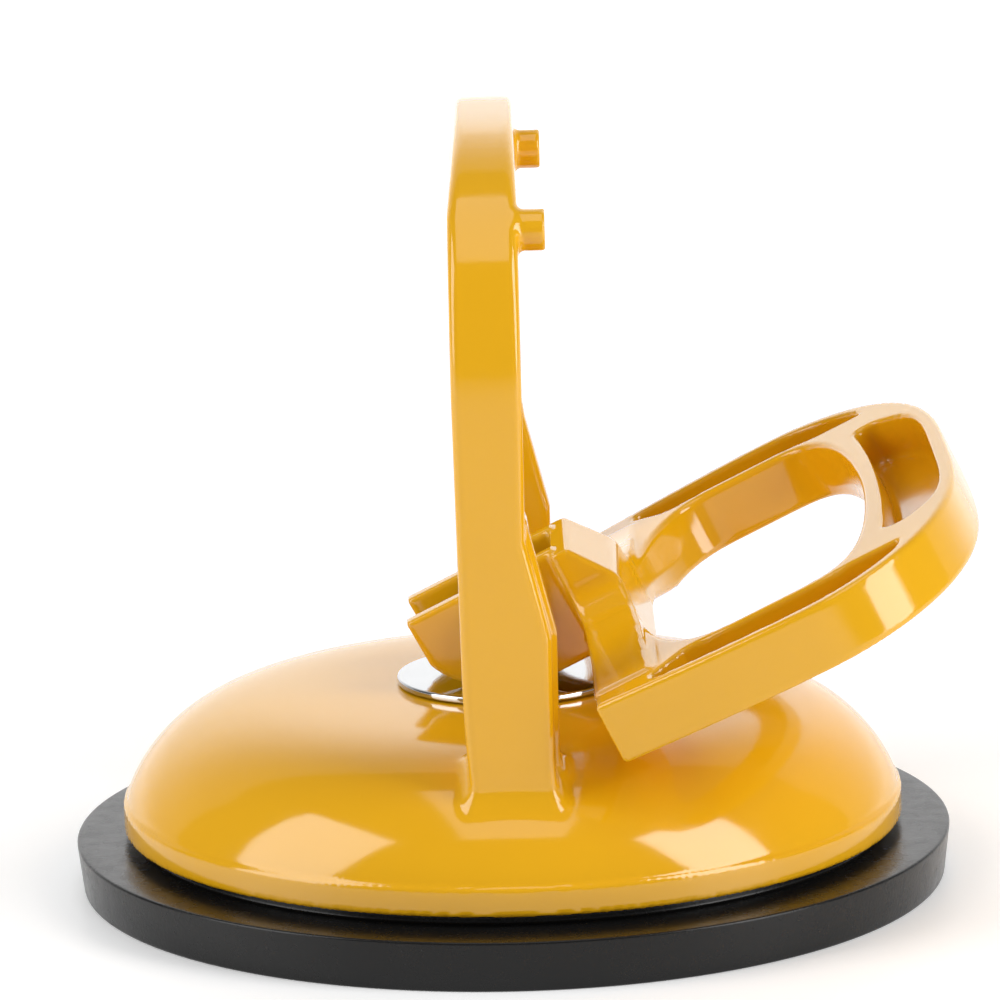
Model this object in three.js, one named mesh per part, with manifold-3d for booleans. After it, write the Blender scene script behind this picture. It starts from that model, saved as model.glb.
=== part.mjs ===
// Single-cup vacuum lifter: a rubber suction pad under a die-cast dome with a fixed arch handle.
// A lever with two cam cheeks turns on a pin through the eye of a central bolt. Swinging the lever
// up rolls the cheeks over a washer on the dome and pulls the middle of the pad off the surface.
//
// Units are millimetres and +Z is up. The origin is the middle of the pad's flat face, on the
// surface the cup stands on. The arch stands in the YZ plane and the open lever points along +X.
import * as THREE from 'three';
import { mergeVertices } from 'three/addons/utils/BufferGeometryUtils.js';
import Module from 'manifold-3d';

const wasm = await Module();
wasm.setup();

// ---------------------------------------------------------------- driving dimensions

const GAP = 0.3; // clearance between neighbouring pieces
const CUT = 60; // reach of the solids that only cut others, past every edge
const OVER = 1; // overlap of solids that are joined, and past the faces that are cut
const SEAM = 0.01; // half the width left where a mirrored outline closes on the middle line
const WELD = 1e-4; // points nearer than this are one point

const ROUND_STEPS = 64; // facets round the dome and the pad
const WASHER_STEPS = 48; // facets round the large washer
const SMALL_STEPS = 24; // facets round the pin, the bolt and their washers
const domeSteps = { outside: 14, inside: 10 }; // facets up the dome
const archSteps = 12; // facets round each upper corner of the arch
const leverSteps = { arm: 6, tip: 14, loopNear: 10, loopFar: 12, pocket: 10, bow: 4, sweep: 6, cam: 8 };

const padRadius = 60;
const padDraft = 0.8; // the pad's wall leans in by this much at the bottom
const padThickness = 6.8;
const padMoat = { inner: 50.5, outer: 52, depth: 0.8 }; // groove that frees the sealing lip
const padRing = { inner: 48.2, outer: 51.2, top: 8 }; // raised ring that carries the dome's rim

const rimRadius = 53.4;
const rimBottom = padRing.top + GAP;
const rimTop = 12.3; // where the dome springs from the band round it
const rimLedge = 0.4; // the band's outer edge is lower by this much
const domeRadius = 52.9;
const domeTop = 26.9;
const domeWall = 3;
const cavityDrop = 1; // the cavity begins to curve in this much lower than the outside
const domePowers = { height: 1.25, radius: 6 }; // shape of the flattened dome
const guide = { bore: 4.6, radius: 9, bottom: 22 }; // boss that guides the bolt

const archHalfWidth = 46.5; // to the outside of each leg
const archTop = 106.2;
const archBand = 9.4; // thickness of the arch, seen from the front
const archShoulder = 72; // height where the legs begin to curve in
const archPower = 2.6;
const archFoot = 14; // the legs run down into the dome's wall
const ribHalf = 42; // the roots of the legs carry a rib on their inner side, out to this width

const stopPeg = { radius: 2.7, from: 0, to: 6, y: 35, z: 95 };

const washerBore = 4.8;
const washerRadius = 15.4;
const washerThickness = 1;
const washerTop = domeTop + GAP / 2 + washerThickness;

const pinRadius = 3;
const pinHeight = 36.7; // the pin's height with the lever down
const leverTilt = THREE.MathUtils.degToRad(26.06);
const leverPlaneHeight = 29.7; // where the lever's top plane crosses the middle axis
const leverThickness = 8.5;
const boltLiftPerRadian = 4;
const camTurn = THREE.MathUtils.degToRad(43); // the cam's curve is drawn over this turn

const lever = { start: 12.2, widest: 42, end: 66.7, startHalf: 50, widestHalf: 54.6 };
const leverPowers = { across: 3.1, along: 2, flare: 1.6 };
const loop = { start: 19.3, cut: 19.8, left: 33, right: 40, end: 53.8, half: 41.2 };
const loopPowers = { leftAcross: 2.3, leftAlong: 2.5, rightAcross: 1.8, rightAlong: 4 };
const leverWall = 2.2; // wall outside the blind pockets
const loopWall = 1.8; // wall between the pockets and the loop
const pocketFloor = 2.2;
const sidePocket = [[20.5, 47], [25, 42.6], [30, 41.5], [56.4, 41.5], [56.4, 60], [20.5, 60]];
const endPocket = { inner: 56.2, bow: 1.2, middle: 52, half: 32.5, power: 4 };
const barThickness = 6; // the bar between the arms is thinner than they are
const barRelief = { half: 20, foot: 32, end: 24 };

const hub = { left: 12.5, crest: 14.8, right: 20.2, half: 10.5, root: -2, top: 12.4 };
const hubSlope = { brow: 5.5, peak: 12.5 }; // heights of the end's slope, at hub.right and hub.crest
const shoulder = { y: 16.5, z: 7.7, radius: 5.2, foot: 44 }; // hollow sweep from the hub to the arms
const cheek = { inner: 5.5, outer: 8.5, top: 12.7, tip: -9.2, right: 13, heel: 5.6, underside: -2.9 };
const footHeight = washerTop + GAP; // flat foot of the cheeks with the lever down
const footRight = 2.7;

const eyePlay = 0.4; // between the bolt's eye and each cheek
const eye = { radius: 7, half: cheek.inner - eyePlay };
const shankRadius = 4;
const shankBottom = 5;
const plate = { radius: 34, bottom: 4.6, top: 6.6, bossRadius: 8, bossTop: 12 };
const nut = { acrossFlats: 14, bottom: 12.3, top: 15.8 };

const pinWasher = { inner: pinRadius + GAP, outer: 5.4, from: cheek.outer + GAP, thickness: 0.8 };
const pinHead = { radius: 4.8, thickness: 1.8 };
const clip = { groove: 2.3, outer: 4.6, thickness: 0.8, mouth: 2.6 };
const pinTail = 1.2; // the pin runs this far past the clip

// ---------------------------------------------------------------- solids

function solidOf(geometry) {
  geometry.deleteAttribute('normal');
  geometry.deleteAttribute('uv');
  const merged = mergeVertices(geometry, WELD);
  const mesh = new wasm.Mesh({
    numProp: 3,
    vertProperties: new Float32Array(merged.attributes.position.array),
    triVerts: new Uint32Array(merged.index.array),
  });
  return new wasm.Manifold(mesh);
}

function geometryOf(solid) {
  const mesh = solid.getMesh();
  const geometry = new THREE.BufferGeometry();
  geometry.setAttribute('position', new THREE.BufferAttribute(mesh.vertProperties, 3));
  geometry.setIndex(new THREE.BufferAttribute(mesh.triVerts, 1));
  geometry.computeVertexNormals();
  return geometry;
}

// Turns a closed [radius, height] outline about the Z axis.
function turned(outline, steps = ROUND_STEPS) {
  const points = outline.map(([radius, height]) => new THREE.Vector2(radius, height));
  return solidOf(new THREE.LatheGeometry(points, steps).rotateX(Math.PI / 2));
}

function ring(inner, outer, bottom, top, steps = SMALL_STEPS) {
  return turned([[inner, bottom], [outer, bottom], [outer, top], [inner, top], [inner, bottom]], steps);
}

function disc(radius, bottom, top, steps = SMALL_STEPS) {
  return turned([[0, bottom], [radius, bottom], [radius, top], [0, top]], steps);
}

// Extrudes an outline drawn in XY from z = bottom to z = top.
function slab(outline, bottom, top) {
  const shape = new THREE.Shape(outline.map(([x, y]) => new THREE.Vector2(x, y)));
  const geometry = new THREE.ExtrudeGeometry(shape, { depth: top - bottom, bevelEnabled: false });
  return solidOf(geometry.translate(0, 0, bottom));
}

// Extrudes an outline drawn in XZ across Y, from y = left to y = right.
function across(outline, left, right) {
  return slab(outline, -right, -left).rotate([90, 0, 0]);
}

// Extrudes an outline drawn in YZ along X, from x = back to x = front.
function along(outline, back, front) {
  return slab(outline, back, front).rotate([90, 0, 90]);
}

// A solid turned about Z, laid on its side so that its axis runs along +Y.
function sideways(solid) {
  return solid.rotate([-90, 0, 0]);
}

function mirrored(half) {
  const other = half.map(([x, y]) => [x, -y]).reverse();
  return [...half, ...other];
}

// Width factor of a superellipse at a distance u (0 to 1) from its middle.
function bulge(u, alongPower, acrossPower) {
  return Math.pow(Math.max(0, 1 - Math.pow(u, alongPower)), 1 / acrossPower);
}

function spread(from, to, count) {
  return Array.from({ length: count + 1 }, (_, i) => from + ((to - from) * i) / count);
}

// Values that crowd towards the end, where a superellipse turns fastest.
function crowded(from, to, count) {
  return spread(0, Math.PI / 2, count).map((a) => from + (to - from) * Math.sin(a));
}

// ---------------------------------------------------------------- pad and dome

function makePad() {
  const seat = plate.radius + GAP;
  return turned([
    [0, 0], [padMoat.inner, 0], [padMoat.inner, padMoat.depth], [padMoat.outer, padMoat.depth],
    [padMoat.outer, 0], [padRadius - padDraft, 0], [padRadius, padThickness],
    [padRing.outer, padThickness], [padRing.outer, padRing.top], [padRing.inner, padRing.top],
    [padRing.inner, padThickness], [seat, padThickness], [seat, plate.bottom - GAP],
    [0, plate.bottom - GAP],
  ]);
}

function domeCurve(radius, bottom, top, count) {
  const { height, radius: power } = domePowers;
  return crowded(0, 1, count).map((u) => [radius * bulge(u, height, power), bottom + (top - bottom) * u]);
}

function makeDomeBody() {
  return turned([
    [0, rimBottom], [rimRadius, rimBottom], [rimRadius, rimTop - rimLedge],
    ...domeCurve(domeRadius, rimTop, domeTop, domeSteps.outside),
  ]);
}

function makeDomeCavity() {
  const radius = domeRadius - domeWall;
  const below = rimBottom - OVER;
  const curve = domeCurve(radius, rimTop - cavityDrop, domeTop - domeWall, domeSteps.inside);
  return turned([[0, below], [radius, below], ...curve]);
}

// ---------------------------------------------------------------- arch handle

function archOutline(half, top, foot) {
  const bend = crowded(archShoulder, top, archSteps).map((z) => {
    const u = (z - archShoulder) / (top - archShoulder);
    return [half * bulge(u, archPower, archPower), z];
  });
  const leg = [[half, foot], ...bend];
  const otherLeg = leg.slice(0, -1).map(([y, z]) => [-y, z]).reverse();
  return [...leg, ...otherLeg];
}

// Side outline of the arch: thin at the top, with a thicker root towards the lever.
const archSide = [
  [-6.2, archFoot], [-5.4, 24], [-5.8, 29], [-6.1, 36], [-6.6, 75], [-6.6, 97], [-5.4, archTop],
  [2.2, archTop], [2.5, 97], [2.5, 55.8], [5.6, 43.3], [5.6, 27], [6.6, archFoot],
];

const ribSide = [[0, 20], [6.7, 20], [6.3, 27], [6.3, 42.9], [2.5, 57.8], [0, 57.8]];

function makeArch() {
  const full = along(archOutline(archHalfWidth, archTop, archFoot), -CUT, CUT);
  const opening = archOutline(archHalfWidth - archBand, archTop - archBand, archFoot - OVER);
  const inside = along(opening, -CUT - OVER, CUT + OVER);
  const side = across(archSide, -archHalfWidth - OVER, archHalfWidth + OVER);
  const rib = across(ribSide, -ribHalf, ribHalf);
  let arch = full.subtract(inside).intersect(side.add(rib));
  for (const y of [-stopPeg.y, stopPeg.y]) {
    const peg = disc(stopPeg.radius, stopPeg.from, stopPeg.to).rotate([0, 90, 0]);
    arch = arch.add(peg.translate([0, y, stopPeg.z]));
  }
  return arch;
}

function makeHousing() {
  const boss = disc(guide.radius, guide.bottom, domeTop - OVER);
  const bore = disc(guide.bore, guide.bottom - OVER, domeTop + OVER);
  return makeDomeBody().add(makeArch()).subtract(makeDomeCavity()).add(boss).subtract(bore);
}

// ---------------------------------------------------------------- lever
// The lever is drawn flat: X runs along it from the dome's axis, and z = 0 is its top plane.

const pinAlong = (pinHeight - leverPlaneHeight) * Math.sin(leverTilt);
const pinAbove = (pinHeight - leverPlaneHeight) * Math.cos(leverTilt);

// Outline of the lever, or of the same shape drawn in by a margin.
function leverOutline(margin) {
  const half = lever.widestHalf - margin;
  const end = lever.end - margin;
  const flare = lever.widestHalf - lever.startHalf;
  const arm = spread(lever.start, lever.widest, leverSteps.arm).map((x) => {
    const back = (lever.widest - x) / (lever.widest - lever.start);
    return [x, half - flare * Math.pow(back, leverPowers.flare)];
  });
  const tip = crowded(lever.widest, end, leverSteps.tip).slice(1, -1).map((x) => {
    const u = (x - lever.widest) / (end - lever.widest);
    return [x, half * bulge(u, leverPowers.along, leverPowers.across)];
  });
  return mirrored([...arm, ...tip, [end, SEAM]]);
}

// Outline of the hand opening, or of the same shape grown by a margin.
function loopOutline(margin) {
  const half = loop.half + margin;
  const start = loop.start - margin;
  const end = loop.end + margin;
  const near = crowded(loop.left, start, leverSteps.loopNear).slice(0, -1).reverse().map((x) => {
    const u = (loop.left - x) / (loop.left - start);
    return [x, half * bulge(u, loopPowers.leftAlong, loopPowers.leftAcross)];
  });
  const far = crowded(loop.right, end, leverSteps.loopFar).slice(0, -1).map((x) => {
    const u = (x - loop.right) / (end - loop.right);
    return [x, half * bulge(u, loopPowers.rightAlong, loopPowers.rightAcross)];
  });
  return mirrored([[start, SEAM], ...near, ...far, [end, SEAM]]);
}

function box(low, high) {
  const outline = [[low[0], low[1]], [high[0], low[1]], [high[0], high[1]], [low[0], high[1]]];
  return slab(outline, low[2], high[2]);
}

// Area of the end pocket: its inner edge bows with the loop, and its outer corners are round.
function endPocketOutline() {
  const end = lever.end - leverWall;
  const inner = spread(SEAM, endPocket.half, leverSteps.bow).map((y) => {
    return [endPocket.inner - endPocket.bow * Math.pow(y / endPocket.half, 2), y];
  });
  const tip = crowded(endPocket.inner, end, leverSteps.pocket).slice(0, -1).map((x) => {
    const u = (x - endPocket.middle) / (end - endPocket.middle);
    return [x, endPocket.half * bulge(u, endPocket.power, endPocket.power)];
  });
  return mirrored([...inner, ...tip, [end, SEAM]]);
}

function makePockets() {
  const floor = pocketFloor - leverThickness;
  const band = slab(leverOutline(leverWall), floor, OVER).subtract(slab(loopOutline(loopWall), -CUT, CUT));
  const otherSide = sidePocket.map(([x, y]) => [x, -y]);
  const areas = [sidePocket, otherSide, endPocketOutline()].map((outline) => slab(outline, -CUT, CUT));
  return areas[0].add(areas[1]).add(areas[2]).intersect(band);
}

// The bar between the arms is cut away underneath, which leaves it thinner than they are.
function makeBarRelief() {
  const { half, foot, end } = barRelief;
  const bottom = -leverThickness;
  const side = [[foot, bottom - OVER], [foot, bottom], [half, -barThickness]];
  const outline = [...side, ...side.map(([y, z]) => [-y, z]).reverse()];
  return along(outline, lever.start - OVER, end);
}

// The hub stands up from the bar, with shoulders that sweep out to the arms. The loop's wall trims
// its end, so that hub and bar share one flat wall.
function makeHub() {
  const { y, z, radius, foot } = shoulder;
  const sweep = spread(0, Math.PI / 2, leverSteps.sweep).map((a) => {
    return [y - radius * Math.sin(a), z - radius * Math.cos(a)];
  });
  const right = [[foot, hub.root], [foot, 0], ...sweep, [hub.half, hub.top]];
  const left = right.map(([across, up]) => [-across, up]).reverse();
  const front = along([...right, ...left], hub.left - OVER, hub.right + OVER);
  const side = across([
    [hub.left, hub.root - OVER], [hub.right, hub.root - OVER], [hub.right, hubSlope.brow],
    [hub.crest, hubSlope.peak], [hub.left, hubSlope.peak],
  ], -foot - OVER, foot + OVER);
  return front.intersect(side);
}

// Point of the cheek's edge that meets the washer when the lever has turned by an angle. The
// edge's distance from the pin grows evenly with the angle, as the bolt is pulled up.
function camPoint(turn) {
  const reach = pinHeight - footHeight + boltLiftPerRadian * turn;
  const angle = leverTilt + turn;
  return [
    pinAlong - reach * Math.sin(angle) - boltLiftPerRadian * Math.cos(angle),
    pinAbove - reach * Math.cos(angle) + boltLiftPerRadian * Math.sin(angle),
  ];
}

function flatPoint(x, z) {
  const rise = z - leverPlaneHeight;
  const sin = Math.sin(leverTilt);
  const cos = Math.cos(leverTilt);
  return [x * cos + rise * sin, rise * cos - x * sin];
}

function makeCheek(side) {
  const cam = spread(0, camTurn, leverSteps.cam).map(camPoint).reverse();
  const outline = [
    [cheek.right, cheek.top], [cheek.tip, cheek.top], ...cam,
    flatPoint(footRight, footHeight), [cheek.heel, cheek.underside], [cheek.right, cheek.underside],
  ];
  const reach = [side * cheek.inner, side * cheek.outer].sort((a, b) => a - b);
  return across(outline, reach[0], reach[1]);
}

function makeLever() {
  const plateSolid = slab(leverOutline(0), -leverThickness, 0).subtract(makePockets());
  const loopCut = slab(loopOutline(0), -CUT, CUT).subtract(box([0, -CUT, -CUT], [loop.cut, CUT, CUT]));
  const bore = sideways(disc(pinRadius + GAP, -CUT, CUT)).translate([pinAlong, 0, pinAbove]);
  return plateSolid.subtract(makeBarRelief()).add(makeHub()).subtract(loopCut)
    .add(makeCheek(-1)).add(makeCheek(1)).subtract(bore);
}

// ---------------------------------------------------------------- washer, bolt, plate and pin

function makeWasher() {
  return ring(washerBore, washerRadius, washerTop - washerThickness, washerTop, WASHER_STEPS);
}

function makeEyeBolt() {
  const ball = sideways(disc(eye.radius, -eye.half, eye.half)).translate([0, 0, pinHeight]);
  const shank = disc(shankRadius, shankBottom, pinHeight - eye.radius / 2);
  const bore = sideways(disc(pinRadius + GAP, -CUT, CUT)).translate([0, 0, pinHeight]);
  return ball.add(shank).subtract(bore);
}

function makePlate() {
  return disc(plate.radius, plate.bottom, plate.top, ROUND_STEPS)
    .add(disc(plate.bossRadius, plate.top - OVER, plate.bossTop))
    .subtract(disc(shankRadius + GAP, -CUT, CUT));
}

function makeNut() {
  const hexRadius = nut.acrossFlats / Math.sqrt(3);
  const angles = spread(0, 2 * Math.PI, 6).slice(1);
  const corners = angles.map((a) => [hexRadius * Math.cos(a), hexRadius * Math.sin(a)]);
  return slab(corners, nut.bottom, nut.top)
    .subtract(disc(shankRadius + GAP, -CUT, CUT));
}

const washerOutside = pinWasher.from + pinWasher.thickness;
const clipFrom = washerOutside + GAP;
const pinEnd = clipFrom + clip.thickness + pinTail;

function makePin() {
  const headFrom = washerOutside + GAP;
  const grooveEnd = clipFrom + clip.thickness + GAP / 2;
  const groove = ring(clip.groove - GAP, pinRadius + OVER, clipFrom - GAP / 2, grooveEnd);
  const pin = disc(pinRadius, -headFrom - OVER, pinEnd)
    .add(disc(pinHead.radius, -headFrom - pinHead.thickness, -headFrom))
    .subtract(groove);
  return sideways(pin);
}

function makePinWasher(side) {
  const reach = [side * pinWasher.from, side * washerOutside].sort((a, b) => a - b);
  return sideways(ring(pinWasher.inner, pinWasher.outer, reach[0], reach[1]));
}

// A spring clip pushed into the pin's groove from above, open downwards.
function makeClip() {
  const body = ring(clip.groove, clip.outer, clipFrom, clipFrom + clip.thickness);
  const mouth = box([-clip.mouth / 2, 0, -CUT], [clip.mouth / 2, CUT, CUT]);
  return sideways(body.subtract(mouth));
}

// ---------------------------------------------------------------- assembly

const paint = { color: 0xf0b21c, roughness: 0.25, metalness: 0 };
const rubber = { color: 0x2b2b2c, roughness: 0.6, metalness: 0 };
const chrome = { color: 0xd9dce0, roughness: 0.08, metalness: 1 };
const zinc = { color: 0xb4b8bc, roughness: 0.3, metalness: 1 };

function piece(name, solid, look) {
  const mesh = new THREE.Mesh(geometryOf(solid), new THREE.MeshStandardMaterial(look));
  mesh.name = name;
  return mesh;
}

const fixed = new THREE.Group();
fixed.add(piece('housing', makeHousing(), paint));
fixed.add(piece('cam_washer', makeWasher(), chrome));
fixed.add(piece('rubber_pad', makePad(), rubber));

const lifting = new THREE.Group();
lifting.add(piece('eye_bolt', makeEyeBolt(), zinc));
lifting.add(piece('backing_plate', makePlate(), zinc));
lifting.add(piece('jam_nut', makeNut(), zinc));

const swinging = new THREE.Group();
const leverMesh = piece('cam_lever', makeLever(), paint);
leverMesh.position.set(0, 0, leverPlaneHeight);
leverMesh.rotation.set(0, -leverTilt, 0);
swinging.add(leverMesh);

const pinGroup = new THREE.Group();
pinGroup.position.set(0, 0, pinHeight);
pinGroup.add(piece('pivot_pin', makePin(), zinc));
pinGroup.add(piece('pin_washer_head', makePinWasher(-1), zinc));
pinGroup.add(piece('pin_washer_clip', makePinWasher(1), zinc));
pinGroup.add(piece('retaining_clip', makeClip(), zinc));
swinging.add(pinGroup);

const group = new THREE.Group();
group.add(fixed, lifting, swinging);

export default group;
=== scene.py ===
"""Looks of a hand vacuum lifter: a yellow cast dome with a fixed arch, a cam lever and a rubber pad.

The two castings are remeshed finely and then drawn onto exact rounded forms, so that every edge
has the soft radius and every corner the fillet of a painted casting. Lengths in the tables of
dimensions are millimetres; everything else is in metres.
"""
import math

import bmesh
import bpy
import numpy as np
from mathutils import Matrix, Vector


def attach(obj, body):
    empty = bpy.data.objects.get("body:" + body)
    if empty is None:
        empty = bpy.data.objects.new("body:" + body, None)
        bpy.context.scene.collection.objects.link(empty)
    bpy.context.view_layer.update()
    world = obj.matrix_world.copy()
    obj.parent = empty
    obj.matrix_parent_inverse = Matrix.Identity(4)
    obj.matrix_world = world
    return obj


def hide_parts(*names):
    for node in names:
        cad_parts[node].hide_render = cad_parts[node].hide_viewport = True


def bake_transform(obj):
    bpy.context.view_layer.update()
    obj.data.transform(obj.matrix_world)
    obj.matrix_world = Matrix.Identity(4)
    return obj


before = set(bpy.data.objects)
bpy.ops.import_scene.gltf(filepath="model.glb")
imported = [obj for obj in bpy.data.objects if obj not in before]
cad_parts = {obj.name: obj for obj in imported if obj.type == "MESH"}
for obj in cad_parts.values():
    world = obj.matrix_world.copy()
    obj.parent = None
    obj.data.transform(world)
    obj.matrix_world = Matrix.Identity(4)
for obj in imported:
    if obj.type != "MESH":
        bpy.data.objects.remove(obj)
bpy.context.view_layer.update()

MM = 0.001

# ------------------------------------------------------------------ dimensions, in millimetres

CUT = 60  # reach of the forms that only cut others, past every edge
OVER = 1  # overlap of forms that are joined, and past the edges that are trimmed

PAD = {"radius": 60, "draft": 0.8, "thickness": 6.8, "moat": (50.5, 52, 0.8), "ring": (48.2, 51.2, 8),
       "seat": 34.3, "seat_height": 4.3, "seat_corner": 34, "face": 49, "flat": 34.5, "lip": 48}
DOME = {"rim": 53.4, "rim_bottom": 8.3, "rim_top": 12.3, "ledge": 0.4, "radius": 52.9, "top": 26.9,
        "wall": 3, "cavity_drop": 1, "powers": (1.25, 6)}
GUIDE = {"bore": 4.6, "radius": 9, "bottom": 22}
ARCH = {"half": 46.5, "top": 106.2, "band": 9.4, "shoulder": 72, "power": 2.6, "foot": 14,
        "opening_foot": 5, "rib": 42}
PEG = {"radius": 2.7, "root": 2, "end": 6, "y": 35, "z": 95}
WASHER = {"bore": 4.8, "radius": 15.4, "bottom": 27.05, "top": 28.05}
PIN = {"radius": 3, "height": 36.7}
TILT = math.radians(26.06)
SIN, COS = math.sin(TILT), math.cos(TILT)
PLANE_HEIGHT = 29.7
LEVER = {"start": 12.2, "widest": 42, "end": 66.7, "start_half": 50, "half": 54.6, "thick": 8.5,
         "across": 3.1, "along": 2, "flare": 1.6}
LOOP = {"start": 19.3, "cut": 19.8, "left": 33, "right": 40, "end": 53.8, "half": 41.2,
        "left_powers": (2.5, 2.3), "right_powers": (4, 1.8)}
WALL = 2.2
LOOP_WALL = 1.8
SIDE_POCKET = [(20.5, 47), (25, 42.6), (30, 41.5), (56.4, 41.5), (56.4, 60), (20.5, 60)]
END_POCKET = {"inner": 56.2, "bow": 1.2, "middle": 52, "half": 32.5, "power": 4, "corner": 2.2}
BAR = {"relief": [(32, -20), (32, -8.5), (20, -6)], "relief_end": 24}
HUB = {"left": 12.5, "crest": 14.8, "right": 20.2, "half": 10.5, "brow": 5.5, "top": 12.4, "peak": 12.5,
       "root": -2, "overlap": 2.8}
SHOULDER = {"y": 16.5, "z": 7.7, "radius": 5.2, "foot": 44, "plan": (13.5, 17.5)}
CHEEK = {"inner": 5.5, "outer": 8.5, "top": 12.7, "tip": -9.2, "right": 13, "heel": 5.6,
         "underside": -2.9}
CAM_TURN = 43  # degrees over which the cam's curve is drawn
LIFT_PER_RADIAN = 4
FOOT = {"height": 28.35, "right": 2.7}
PIN_CLEARANCE = 0.3

# Radii of rounded edges, and of the fillets where forms are joined.
EDGE = {"cavity": 0.8, "guide": 0.4, "rib": 0.5, "arch": 1.2, "hub": 0.6, "hub_foot": 0.4, "plate": 0.7,
        "pocket": 1.2, "brim": 0.45, "relief": 0.6, "loop": 0.8, "cheek": 0.5, "bore": 0.3,
        "pad": 0.45, "washer": 0.35, "steel": 0.25}
FILLET = {"rib": 1.0, "peg": 0.9, "arch_foot": 2.0, "boss": 1.0, "hub": 1.0, "cheek": 0.8}

# How finely the pieces are made.
VOXEL = 0.45
SEGMENTS = 192  # facets round the turned pieces
RING_SPACING = 2  # the pad's rings are no further apart
POINTS = {"dome": 60, "arch": 48, "arm": 16, "tip": 40, "loop_near": 30, "loop_far": 36, "bow": 9,
          "pocket": 30, "cam": 24, "sweep": 16, "seat": 15, "face": 24}
DRAWING_ROUNDS = 5  # times that each point is moved towards its form
LONGEST_STEP = 0.6  # of one such move
WEAKEST_SLOPE = 0.25  # floor under the square of a field's slope, in fillets


# ------------------------------------------------------------------ outlines

def bulge(u, along, across):
    """Width factor of a superellipse at a distance u, 0 to 1, from its middle."""
    return np.maximum(0, 1 - u ** along) ** (1 / across)


def crowded(count):
    """Values from 0 to 1 that crowd towards 1, where a superellipse turns fastest."""
    return np.sin(np.linspace(0, math.pi / 2, count + 1))


def mirrored(points):
    """The points, and then their mirror images on the other side of the middle line."""
    points = [tuple(map(float, p)) for p in points]
    return points + [(x, -y) for x, y in reversed(points) if abs(y) > 1e-6]


def dome_curve(radius, bottom, top):
    """Section of a flattened dome, from its rim to its crown."""
    along, across = DOME["powers"]
    return [(radius * bulge(u, along, across), bottom + (top - bottom) * u)
            for u in crowded(POINTS["dome"])]


def arch_outline(half, top, foot):
    """The arch seen from the front: two straight legs and a rounded top."""
    bend = []
    for u in crowded(POINTS["arch"]):
        z = ARCH["shoulder"] + (top - ARCH["shoulder"]) * u
        bend.append((half * bulge(u, ARCH["power"], ARCH["power"]), z))
    leg = [(half, foot)] + bend
    return leg + [(-y, z) for y, z in reversed(leg[:-1])]


# Side outlines of the arch, and of the rib on the inner side of each leg's root.
ARCH_SIDE = [(-6.2, ARCH["foot"]), (-5.4, 24), (-5.8, 29), (-6.1, 36), (-6.6, 75), (-6.6, 97),
             (-5.4, ARCH["top"]), (2.2, ARCH["top"]), (2.5, 97), (2.5, 55.8), (5.6, 43.3),
             (5.6, 27), (6.6, ARCH["foot"])]
RIB_SIDE = [(0, 20), (6.7, 20), (6.3, 27), (6.3, 42.9), (2.5, 57.8), (0, 57.8)]


def lever_outline(margin):
    """The lever seen from above, drawn in by a margin."""
    half = LEVER["half"] - margin
    end = LEVER["end"] - margin
    start, widest = LEVER["start"], LEVER["widest"]
    flare = LEVER["half"] - LEVER["start_half"]
    points = []
    for x in np.linspace(start, widest, POINTS["arm"])[:-1]:
        points.append((x, half - flare * ((widest - x) / (widest - start)) ** LEVER["flare"]))
    for u in crowded(POINTS["tip"]):
        points.append((widest + (end - widest) * u, half * bulge(u, LEVER["along"], LEVER["across"])))
    return mirrored(points)


def loop_outline(margin):
    """The hand opening seen from above, grown by a margin."""
    half = LOOP["half"] + margin
    left = LOOP["left"] - LOOP["start"] + margin
    right = LOOP["end"] - LOOP["right"] + margin
    near = [(LOOP["left"] - left * u, half * bulge(u, *LOOP["left_powers"]))
            for u in crowded(POINTS["loop_near"])]
    far = [(LOOP["right"] + right * u, half * bulge(u, *LOOP["right_powers"]))
           for u in crowded(POINTS["loop_far"])]
    return mirrored(near[::-1] + far)


def end_pocket_outline(margin):
    """The end pocket drawn in by a margin: its inner edge bows with the loop."""
    half = END_POCKET["half"] - margin
    inner = END_POCKET["inner"] + margin
    end = LEVER["end"] - WALL - margin
    points = []
    for y in np.linspace(0, half, POINTS["bow"]):
        points.append((inner - END_POCKET["bow"] * (y / half) ** 2, y))
    start = (inner - END_POCKET["middle"]) / (end - END_POCKET["middle"])
    for u in start + (1 - start) * crowded(POINTS["pocket"]):
        x = END_POCKET["middle"] + (end - END_POCKET["middle"]) * u
        points.append((x, half * bulge(u, END_POCKET["power"], END_POCKET["power"])))
    return mirrored(points)


def lever_point(x, z):
    """A point of the XZ plane in the lever's own flat coordinates."""
    rise = z - PLANE_HEIGHT
    return x * COS + rise * SIN, rise * COS - x * SIN


def cheek_outline():
    """Cam cheek: its edge's distance from the pin grows evenly as the lever turns."""
    pin_x, pin_z = lever_point(0, PIN["height"])
    cam = []
    for turn in np.radians(np.linspace(CAM_TURN, 0, POINTS["cam"])):
        reach = PIN["height"] - FOOT["height"] + LIFT_PER_RADIAN * turn
        sin, cos = math.sin(TILT + turn), math.cos(TILT + turn)
        x = pin_x - reach * sin - LIFT_PER_RADIAN * cos
        z = pin_z - reach * cos + LIFT_PER_RADIAN * sin
        cam.append((x, z))
    top, right, underside = CHEEK["top"], CHEEK["right"], CHEEK["underside"]
    foot = lever_point(FOOT["right"], FOOT["height"])
    heel = [foot, (CHEEK["heel"], underside), (right, underside)]
    return [(right, top), (CHEEK["tip"], top)] + cam + heel


# ------------------------------------------------------------------ solid forms as distance fields
# A field is a pair: the signed distance of each point from a form, negative inside it, and the
# direction in which that distance grows. Distances are millimetres.

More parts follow.
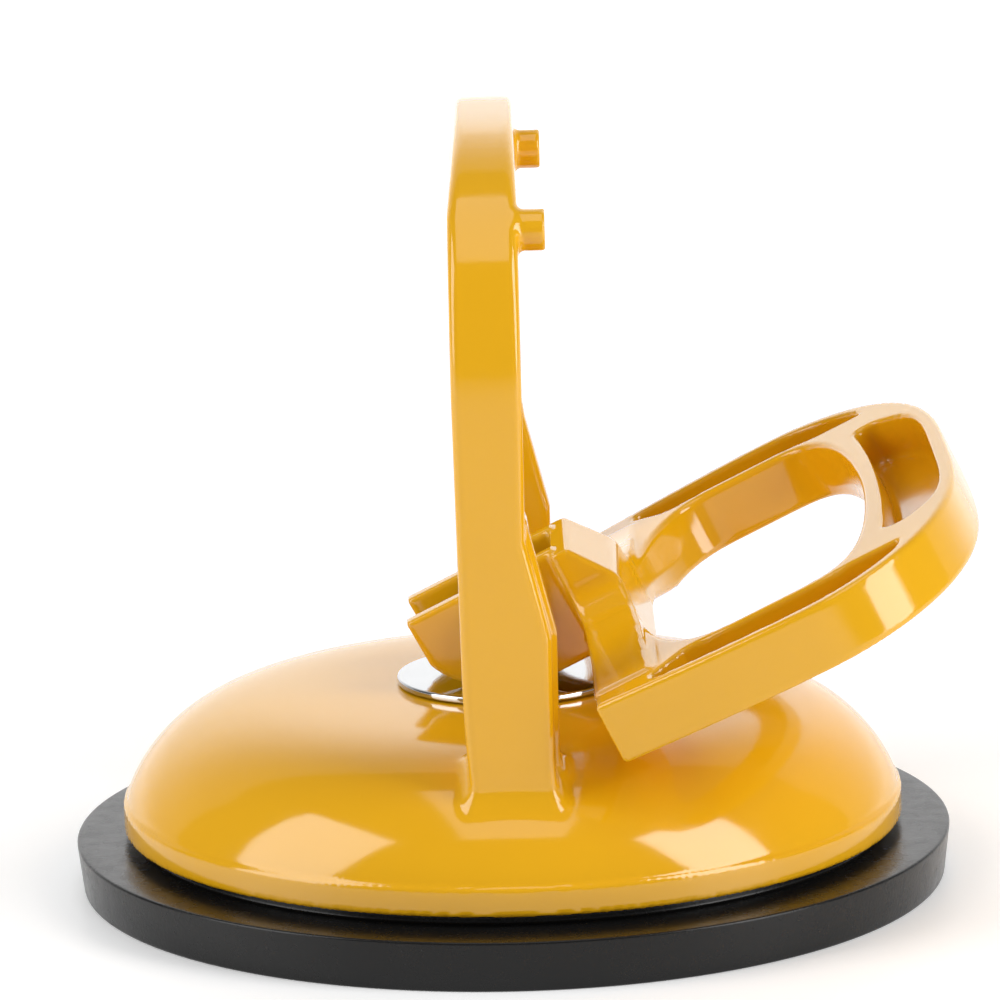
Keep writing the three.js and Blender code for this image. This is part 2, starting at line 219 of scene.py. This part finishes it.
def outline_field(a, b, outline):
    """Field of a closed outline in the plane of the coordinates a and b."""
    points = np.array(outline, float)
    following = np.roll(points, -1, axis=0)
    area = np.sum(points[:, 0] * following[:, 1] - following[:, 0] * points[:, 1])
    best = np.full(a.shape, np.inf)
    away_a, away_b = np.zeros_like(a), np.zeros_like(a)
    edge_a, edge_b = np.zeros_like(a), np.zeros_like(a)
    inside = np.zeros(a.shape, bool)
    for (pa, pb), (qa, qb) in zip(points, following):
        ea, eb = qa - pa, qb - pb
        length = math.hypot(ea, eb)
        if length < 1e-9:
            continue
        wa, wb = a - pa, b - pb
        t = np.clip((wa * ea + wb * eb) / length ** 2, 0, 1)
        da, db = wa - t * ea, wb - t * eb
        square = da * da + db * db
        near = square < best
        best = np.where(near, square, best)
        away_a, away_b = np.where(near, da, away_a), np.where(near, db, away_b)
        side = math.copysign(1, area) / length
        edge_a, edge_b = np.where(near, eb * side, edge_a), np.where(near, -ea * side, edge_b)
        if eb:
            inside ^= ((pb > b) != (qb > b)) & (a < ea * (b - pb) / eb + pa)
    distance = np.sqrt(best)
    sign = np.where(inside, -1.0, 1.0)
    close = distance < 1e-5
    scale = sign / np.maximum(distance, 1e-9)
    slope_a = np.where(close, edge_a, away_a * scale)
    slope_b = np.where(close, edge_b, away_b * scale)
    return distance * sign, slope_a, slope_b


def spread_field(points, axes, outline):
    """An outline in the plane of two axes, carried along the third."""
    d, ga, gb = outline_field(points[:, axes[0]], points[:, axes[1]], outline)
    gradient = np.zeros_like(points)
    gradient[:, axes[0]], gradient[:, axes[1]] = ga, gb
    return d, gradient


def turned_field(points, outline, axis=2, centre=(0, 0, 0)):
    """A [radius, height] outline turned about an axis."""
    rel = points - np.array(centre, float)
    others = [i for i in range(3) if i != axis]
    radius = np.hypot(rel[:, others[0]], rel[:, others[1]])
    d, gr, gz = outline_field(radius, rel[:, axis], outline)
    gradient = np.zeros_like(points)
    for i in others:
        gradient[:, i] = gr * rel[:, i] / np.maximum(radius, 1e-9)
    gradient[:, axis] = gz
    return d, gradient


def rod_field(points, radius, low, high, axis=2, centre=(0, 0, 0)):
    """A round rod about an axis."""
    return turned_field(points, [(0, low), (radius, low), (radius, high), (0, high)], axis, centre)


def layer_field(points, axis, low, high):
    """The space between two planes."""
    middle, half = (low + high) / 2, (high - low) / 2
    gradient = np.zeros_like(points)
    gradient[:, axis] = np.sign(points[:, axis] - middle)
    return np.abs(points[:, axis] - middle) - half, gradient


def inverse(field):
    """All that is outside a form."""
    return -field[0], -field[1]


def union(one, two, fillet=0.0):
    """Both forms, with a round fillet of that radius where they meet."""
    (da, ga), (db, gb) = one, two
    nearer = (da < db)[:, None]
    d, gradient = np.minimum(da, db), np.where(nearer, ga, gb)
    if fillet:
        ua, ub = np.maximum(fillet - da, 0), np.maximum(fillet - db, 0)
        length = np.hypot(ua, ub)
        corner = (ua > 0) & (ub > 0)
        rounded = fillet - length
        mixed = (ua[:, None] * ga + ub[:, None] * gb) / np.maximum(length, 1e-9)[:, None]
        d = np.where(corner, rounded, d)
        gradient = np.where(corner[:, None], mixed, gradient)
    return d, gradient


def common(one, two, edge=0.0):
    """What both forms share, with edges rounded to that radius."""
    return inverse(union(inverse(one), inverse(two), edge))


def cut(one, two, edge=0.0):
    """The first form less the second."""
    return common(one, inverse(two), edge)


def dome_fields(p):
    """The dome without its hollow, and the hollow."""
    rim, bottom, spring, radius = (DOME[key] for key in ("rim", "rim_bottom", "rim_top", "radius"))
    outer = [(0, bottom), (rim, bottom), (rim, spring - DOME["ledge"])]
    outer += dome_curve(radius, spring, DOME["top"])
    inner_radius = radius - DOME["wall"]
    cavity = [(0, 0), (inner_radius, 0)]
    cavity += dome_curve(inner_radius, spring - DOME["cavity_drop"], DOME["top"] - DOME["wall"])
    return turned_field(p, outer), turned_field(p, cavity)


def arch_field(p):
    """The arch with the ribs at its roots and its two stop pegs."""
    half, top, thickness = ARCH["half"], ARCH["top"], ARCH["band"]
    outside = spread_field(p, (1, 2), arch_outline(half, top, ARCH["foot"]))
    opening = arch_outline(half - thickness, top - thickness, ARCH["opening_foot"])
    band = cut(outside, spread_field(p, (1, 2), opening))
    ribs = layer_field(p, 1, -ARCH["rib"], ARCH["rib"])
    ribs = common(spread_field(p, (0, 2), RIB_SIDE), ribs, EDGE["rib"])
    arch = common(band, union(spread_field(p, (0, 2), ARCH_SIDE), ribs, FILLET["rib"]), EDGE["arch"])
    for y in (-PEG["y"], PEG["y"]):
        peg = rod_field(p, PEG["radius"], PEG["root"], PEG["end"], 0, (0, y, PEG["z"]))
        arch = union(arch, peg, FILLET["peg"])
    return arch


def housing_field(p):
    outer, cavity = dome_fields(p)
    body = cut(union(outer, arch_field(p), FILLET["arch_foot"]), cavity, EDGE["cavity"])
    boss = rod_field(p, GUIDE["radius"], GUIDE["bottom"], DOME["top"] - OVER)
    return cut(union(body, boss, FILLET["boss"]), rod_field(p, GUIDE["bore"], 0, CUT), EDGE["guide"])


def hub_field(p):
    """The hub and its hollow shoulders; the loop's wall trims its end."""
    y, z, radius, foot = (SHOULDER[key] for key in ("y", "z", "radius", "foot"))
    turns = np.linspace(0, math.pi / 2, POINTS["sweep"])
    sweep = [(y - radius * math.sin(a), z - radius * math.cos(a)) for a in turns]
    half_front = [(foot, HUB["root"]), (foot, 0)] + sweep + [(HUB["half"], HUB["top"])]
    front = half_front + [(-across, up) for across, up in reversed(half_front)]
    left, right, peak = HUB["left"], HUB["right"], HUB["peak"]
    drop = (peak - HUB["brow"]) / (right - HUB["crest"])
    far = right + HUB["overlap"]
    side = [(left, HUB["root"]), (far, HUB["root"]), (far, HUB["brow"] - drop * HUB["overlap"]),
            (HUB["crest"], peak), (left, peak)]
    # Seen from above, the shoulders' feet end at the hub's own end; between them it runs past
    # the wall of the loop, so that only that wall shapes it there.
    inner, outer = SHOULDER["plan"]
    plan = mirrored([(far + OVER, 0), (far + OVER, inner), (right, outer), (right, foot + OVER),
                     (left - OVER, foot + OVER)])
    solid = common(spread_field(p, (1, 2), front), spread_field(p, (0, 2), side), EDGE["hub"])
    return common(solid, spread_field(p, (0, 1), plan), EDGE["hub_foot"])


def pockets_field(p):
    """The two side pockets and the end pocket, open at the top."""
    inside = spread_field(p, (0, 1), lever_outline(WALL))
    band = cut(inside, spread_field(p, (0, 1), loop_outline(LOOP_WALL)))
    sides = union(spread_field(p, (0, 1), SIDE_POCKET),
                  spread_field(p, (0, 1), [(x, -y) for x, y in SIDE_POCKET]))
    reach, slope = spread_field(p, (0, 1), end_pocket_outline(END_POCKET["corner"]))
    tip = (reach - END_POCKET["corner"], slope)
    areas = union(common(sides, band, EDGE["pocket"]), tip)
    return common(areas, layer_field(p, 2, WALL - LEVER["thick"], CUT), EDGE["pocket"])


def lever_field(p):
    """The lever, drawn flat: x runs along it, and z = 0 is its top plane."""
    outside = spread_field(p, (0, 1), lever_outline(0))
    plate = common(outside, layer_field(p, 2, -LEVER["thick"], 0), EDGE["plate"])
    plate = cut(plate, pockets_field(p), EDGE["brim"])
    hollow = BAR["relief"] + [(-y, z) for y, z in reversed(BAR["relief"])]
    relief = common(layer_field(p, 0, 0, BAR["relief_end"]), spread_field(p, (1, 2), hollow))
    body = union(cut(plate, relief, EDGE["relief"]), hub_field(p), FILLET["hub"])
    loop = cut(spread_field(p, (0, 1), loop_outline(0)), layer_field(p, 0, 0, LOOP["cut"]))
    body = cut(body, loop, EDGE["loop"])
    profile = spread_field(p, (0, 2), cheek_outline())
    for side in (-1, 1):
        low, high = sorted((side * CHEEK["inner"], side * CHEEK["outer"]))
        cheek = common(profile, layer_field(p, 1, low, high), EDGE["cheek"])
        body = union(body, cheek, FILLET["cheek"])
    pin_x, pin_z = lever_point(0, PIN["height"])
    bore = rod_field(p, PIN["radius"] + PIN_CLEARANCE, -CUT, CUT, 1, (pin_x, 0, pin_z))
    return cut(body, bore, EDGE["bore"])


# ------------------------------------------------------------------ castings

def fine_casting(name, node, field, placing):
    """Remeshes a CAD node and draws its points onto the rounded form of its field."""
    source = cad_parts[node]
    piece = bpy.data.objects.new(name, source.data.copy())
    bpy.context.scene.collection.objects.link(piece)
    piece.data.materials.clear()
    remesh = piece.modifiers.new("remesh", "REMESH")
    remesh.mode = "VOXEL"
    remesh.voxel_size = VOXEL * MM
    depsgraph = bpy.context.evaluated_depsgraph_get()
    mesh = bpy.data.meshes.new_from_object(piece.evaluated_get(depsgraph))
    piece.modifiers.clear()
    piece.data = mesh
    points = np.zeros(len(mesh.vertices) * 3)
    mesh.vertices.foreach_get("co", points)
    points = points.reshape(-1, 3) / MM
    flat = (points - placing["origin"]) @ placing["axes"].T
    for _ in range(DRAWING_ROUNDS):
        distance, gradient = field(flat)
        step = np.clip(distance, -LONGEST_STEP, LONGEST_STEP)
        square = np.maximum(np.sum(gradient * gradient, axis=1), WEAKEST_SLOPE)
        flat = flat - gradient * (step / square)[:, None]
    points = flat @ placing["axes"] + placing["origin"]
    mesh.vertices.foreach_set("co", (points * MM).ravel())
    mesh.polygons.foreach_set("use_smooth", [True] * len(mesh.polygons))
    mesh.update()
    return piece


UPRIGHT = {"origin": np.zeros(3), "axes": np.eye(3)}
TILTED = {"origin": np.array([0, 0, PLANE_HEIGHT]),
          "axes": np.array([[COS, 0, SIN], [0, 1, 0], [-SIN, 0, COS]])}


# ------------------------------------------------------------------ turned pieces

def rounded(outline, radius, steps=5):
    """Rounds the corners of a [radius, height] outline, except those on the axis."""
    points = [Vector(p) for p in outline]
    result = []
    for i, corner in enumerate(points):
        before, after = points[i - 1], points[(i + 1) % len(points)]
        if corner.x < 1e-6:
            result.append(tuple(corner))
            continue
        into, out = (corner - before), (after - corner)
        trim = min(radius, into.length * 0.45, out.length * 0.45)
        start, end = corner - into.normalized() * trim, corner + out.normalized() * trim
        for k in range(steps + 1):
            t = k / steps
            result.append(tuple(start * (1 - t) ** 2 + corner * 2 * t * (1 - t) + end * t ** 2))
    return result


def turned_piece(name, outline, closed=True):
    """Turns a [radius, height] outline in millimetres about the Z axis."""
    bm = bmesh.new()
    rings = []
    angles = [2 * math.pi * i / SEGMENTS for i in range(SEGMENTS)]
    for radius, height in outline:
        if radius < 1e-6:
            rings.append([bm.verts.new((0, 0, height * MM))])
            continue
        rings.append([bm.verts.new((radius * MM * math.cos(a), radius * MM * math.sin(a), height * MM))
                      for a in angles])
    pairs = list(zip(rings, rings[1:]))
    if closed:
        pairs.append((rings[-1], rings[0]))
    for low, high in pairs:
        for i in range(SEGMENTS):
            j = (i + 1) % SEGMENTS
            corners = [low[i % len(low)], low[j % len(low)], high[j % len(high)], high[i % len(high)]]
            unique = list(dict.fromkeys(corners))
            if len(unique) > 2:
                bm.faces.new(unique)
    bmesh.ops.recalc_face_normals(bm, faces=bm.faces)
    for face in bm.faces:
        face.smooth = True
    mesh = bpy.data.meshes.new(name)
    bm.to_mesh(mesh)
    bm.free()
    piece = bpy.data.objects.new(name, mesh)
    bpy.context.scene.collection.objects.link(piece)
    return piece


def make_pad():
    """The pad, turned with its rings no further apart than RING_SPACING."""
    moat_in, moat_out, moat_depth = PAD["moat"]
    ring_in, ring_out, ring_top = PAD["ring"]
    top, seat, seat_height = PAD["thickness"], PAD["seat"], PAD["seat_height"]
    corners = [(moat_in, 0), (moat_in, moat_depth), (moat_out, moat_depth), (moat_out, 0),
               (PAD["radius"] - PAD["draft"], 0), (PAD["radius"], top), (ring_out, top),
               (ring_out, ring_top), (ring_in, ring_top), (ring_in, top), (seat, top), (seat, seat_height)]
    outline = rounded(corners, EDGE["pad"])
    filled = []
    for (r0, z0), (r1, z1) in zip(outline, outline[1:]):
        filled.append((r0, z0))
        parts = int(math.hypot(r1 - r0, z1 - z0) // RING_SPACING)
        filled += [(r0 + (r1 - r0) * k / (parts + 1), z0 + (z1 - z0) * k / (parts + 1))
                   for k in range(1, parts + 1)]
    filled.append(outline[-1])
    floor = [(r, seat_height) for r in np.linspace(PAD["seat_corner"], 0, POINTS["seat"])]
    face = [(r, 0) for r in np.linspace(0, PAD["face"], POINTS["face"])]
    return turned_piece("pad_rubber", face + filled + floor, closed=False)


def bend_pad(pad):
    """Bakes the pad's placing into its mesh."""
    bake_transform(pad)


# ------------------------------------------------------------------ materials

class Nodes:
    """Short calls for building a node material."""

    def __init__(self, name):
        self.material = bpy.data.materials.new(name)
        self.material.use_nodes = True
        self.tree = self.material.node_tree
        self.shader = self.tree.nodes["Principled BSDF"]

    def add(self, kind, values=None, **settings):
        node = self.tree.nodes.new(kind)
        for key, value in settings.items():
            setattr(node, key, value)
        for key, value in (values or {}).items():
            node.inputs[key].default_value = value
        return node

    def link(self, start, end):
        self.tree.links.new(start, end)

    def noise(self, scale, detail, roughness=0.5):
        """Noise that is fixed to the piece; the scale counts its waves in a metre."""
        node = self.add("ShaderNodeTexNoise", {"Scale": scale, "Detail": detail, "Roughness": roughness})
        coordinates = self.add("ShaderNodeTexCoord")
        self.link(coordinates.outputs["Object"], node.inputs["Vector"])
        return node.outputs["Fac"]

    def range(self, factor, low, high):
        """Spreads the middle of a noise's values between two numbers."""
        ends = {"From Min": 0.3, "From Max": 0.7, "To Min": low, "To Max": high}
        node = self.add("ShaderNodeMapRange", ends)
        self.link(factor, node.inputs["Value"])
        return node.outputs["Result"]

    def color(self, factor, first, second):
        """Colours the surface between two colours by a factor."""
        node = self.add("ShaderNodeMix", data_type="RGBA")
        ends = [socket for socket in node.inputs if socket.type == "RGBA"]
        ends[0].default_value = (*first, 1)
        ends[1].default_value = (*second, 1)
        self.link(factor, node.inputs[0])
        result = [socket for socket in node.outputs if socket.type == "RGBA"][0]
        self.link(result, self.shader.inputs["Base Color"])

    def roughness(self, factor, low, high):
        self.link(self.range(factor, low, high), self.shader.inputs["Roughness"])

    def bump(self, height, strength, distance):
        node = self.add("ShaderNodeBump", {"Strength": strength, "Distance": distance})
        self.link(height, node.inputs["Height"])
        self.link(node.outputs["Normal"], self.shader.inputs["Normal"])


def make_paint():
    """Glossy yellow powder coat with a faint orange peel."""
    n = Nodes("yellow_powder_coat")
    n.color(n.noise(60, detail=3), (0.78, 0.395, 0.005), (0.81, 0.415, 0.007))
    n.roughness(n.noise(220, detail=4), low=0.08, high=0.12)
    n.shader.inputs["IOR"].default_value = 1.62
    n.bump(n.noise(520, detail=2), strength=0.012, distance=0.0004)
    return n.material


def make_rubber():
    """Satin moulded rubber with fine grain and a little dust."""
    n = Nodes("black_moulded_rubber")
    n.color(n.noise(90, detail=5, roughness=0.6), (0.006, 0.006, 0.0062), (0.010, 0.0098, 0.0095))
    n.roughness(n.noise(400, detail=3), low=0.22, high=0.3)
    n.shader.inputs["IOR"].default_value = 1.36
    n.bump(n.noise(2200, detail=3), strength=0.12, distance=0.0002)
    return n.material


def make_chrome():
    """Bright chrome plate with a slight waviness."""
    n = Nodes("polished_chrome")
    n.color(n.noise(120, detail=2), (0.54, 0.55, 0.56), (0.60, 0.61, 0.62))
    n.roughness(n.noise(700, detail=3), low=0.05, high=0.09)
    n.shader.inputs["Metallic"].default_value = 1.0
    n.bump(n.noise(300, detail=2), strength=0.03, distance=0.0002)
    return n.material


def make_zinc():
    """Bright zinc plate, slightly cloudy."""
    n = Nodes("bright_zinc_plate")
    n.color(n.noise(160, detail=4), (0.52, 0.53, 0.56), (0.64, 0.65, 0.66))
    n.roughness(n.noise(500, detail=4), low=0.22, high=0.36)
    n.shader.inputs["Metallic"].default_value = 1.0
    n.bump(n.noise(900, detail=3), strength=0.06, distance=0.0002)
    return n.material


def make_floor_material():
    """Matt white paper, lifted a little by a light of its own so that it reads as white."""
    n = Nodes("pale_floor")
    n.color(n.noise(3, detail=2), (0.92, 0.92, 0.92), (0.94, 0.94, 0.94))
    n.shader.inputs["Roughness"].default_value = 0.5
    n.shader.inputs["Emission Color"].default_value = (1, 1, 1, 1)
    n.shader.inputs["Emission Strength"].default_value = 0.22
    return n.material


def soften(piece):
    """Shades a small steel part smooth and breaks its sharp edges."""
    piece.data.polygons.foreach_set("use_smooth", [True] * len(piece.data.polygons))
    piece.data.set_sharp_from_angle(angle=math.radians(32))
    bevel = piece.modifiers.new("broken_edges", "BEVEL")
    bevel.width = EDGE["steel"] * MM
    bevel.segments = 2
    bevel.limit_method = "ANGLE"
    bevel.angle_limit = math.radians(40)


def dress(piece, material):
    """Gives a piece its one material."""
    piece.data.materials.clear()
    piece.data.materials.append(material)


# ------------------------------------------------------------------ the object

paint, rubber, chrome, zinc = make_paint(), make_rubber(), make_chrome(), make_zinc()

housing = fine_casting("housing_casting", "housing", housing_field, UPRIGHT)
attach(housing, "housing")
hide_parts("housing")
dress(housing, paint)

lever = fine_casting("lever_casting", "cam_lever", lever_field, TILTED)
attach(lever, "lever")
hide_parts("cam_lever")
dress(lever, paint)

washer = turned_piece("washer_turned", rounded([
    (WASHER["bore"], WASHER["bottom"]), (WASHER["radius"], WASHER["bottom"]),
    (WASHER["radius"], WASHER["top"]), (WASHER["bore"], WASHER["top"])], EDGE["washer"]))
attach(washer, "housing")
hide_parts("cam_washer")
dress(washer, chrome)

pad = make_pad()
bend_pad(pad)
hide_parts("rubber_pad")
dress(pad, rubber)

for node in ("eye_bolt", "backing_plate", "jam_nut", "pivot_pin", "pin_washer_head", "pin_washer_clip",
             "retaining_clip"):
    soften(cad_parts[node])
    dress(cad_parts[node], zinc)


# ------------------------------------------------------------------ floor, lights and camera

FLOOR = {"half": 4, "front": -3, "back": 1.2, "bend": 0.8, "top": 3.0, "first_angle": 0.1, "steps": 16}
CAMERA = {"elevation": 11.92, "azimuth": 0.11, "roll": 1.45, "aim": (-0.0007, 0.0014, 0.0518),
          "distance": 0.8187, "lens": 216, "sensor": 36, "clip_start": 0.05}
WORLD_STRENGTH = 0.15
# Each softbox: its name, its place, the point it faces, its width and height, and its power.
LIGHTS = [
    ("left_softbox", (-0.85, -0.3, 0.5), (0, 0, 0.08), 0.6, 1.0, 6.9),
    ("right_softbox", (0.8, -0.38, 0.46), (0, 0, 0.08), 0.46, 0.9, 7.4),
    ("overhead_strip", (0, -0.2, 1.3), (0, -0.2, 0), 0.6, 1.05, 2.6),
    ("backdrop_light", (0, 0.75, 1.0), (0, 1.85, 0.35), 2.6, 0.5, 18),
]


def make_floor():
    """A pale floor that curves up into a backdrop behind the object."""
    bm = bmesh.new()
    back, bend = FLOOR["back"], FLOOR["bend"]
    profile = [(FLOOR["front"], 0), (back, 0)]
    for a in np.linspace(FLOOR["first_angle"], math.pi / 2, FLOOR["steps"]):
        profile.append((back + bend * math.sin(a), bend - bend * math.cos(a)))
    profile.append((back + bend, FLOOR["top"]))
    rows = [[bm.verts.new((x, y, z)) for x in (-FLOOR["half"], FLOOR["half"])] for y, z in profile]
    for low, high in zip(rows, rows[1:]):
        face = bm.faces.new((low[0], low[1], high[1], high[0]))
        face.smooth = True
    mesh = bpy.data.meshes.new("floor")
    bm.to_mesh(mesh)
    bm.free()
    floor = bpy.data.objects.new("floor", mesh)
    bpy.context.scene.collection.objects.link(floor)
    floor.data.materials.append(make_floor_material())


def add_light(name, place, target, width, height, power):
    data = bpy.data.lights.new(name, "AREA")
    data.shape = "RECTANGLE"
    data.size, data.size_y = width, height
    data.energy = power
    light = bpy.data.objects.new(name, data)
    bpy.context.scene.collection.objects.link(light)
    light.location = place
    light.rotation_euler = (Vector(target) - Vector(place)).to_track_quat("-Z", "Y").to_euler()


def add_world(strength):
    world = bpy.data.worlds.new("studio")
    world.use_nodes = True
    background = world.node_tree.nodes["Background"]
    background.inputs["Color"].default_value = (1, 1, 1, 1)
    background.inputs["Strength"].default_value = strength
    bpy.context.scene.world = world


def add_camera():
    """A long lens a little above the object, rolled slightly."""
    elevation, azimuth, roll = (math.radians(CAMERA[key]) for key in ("elevation", "azimuth", "roll"))
    back = Vector((math.sin(azimuth) * math.cos(elevation), -math.cos(azimuth) * math.cos(elevation),
                   math.sin(elevation)))
    right = Vector((0, 0, 1)).cross(back).normalized()
    up = back.cross(right)
    turned_right = right * math.cos(roll) - up * math.sin(roll)
    turned_up = up * math.cos(roll) + right * math.sin(roll)
    data = bpy.data.cameras.new("camera")
    data.lens = CAMERA["lens"]
    data.sensor_width = CAMERA["sensor"]
    data.clip_start = CAMERA["clip_start"]
    camera = bpy.data.objects.new("camera", data)
    axes = Matrix((turned_right, turned_up, back)).transposed().to_4x4()
    camera.matrix_world = Matrix.Translation(Vector(CAMERA["aim"]) + back * CAMERA["distance"]) @ axes
    bpy.context.scene.collection.objects.link(camera)
    bpy.context.scene.camera = camera


make_floor()
add_world(WORLD_STRENGTH)
for light in LIGHTS:
    add_light(*light)
add_camera()
bpy.context.scene.view_settings.view_transform = "Standard"
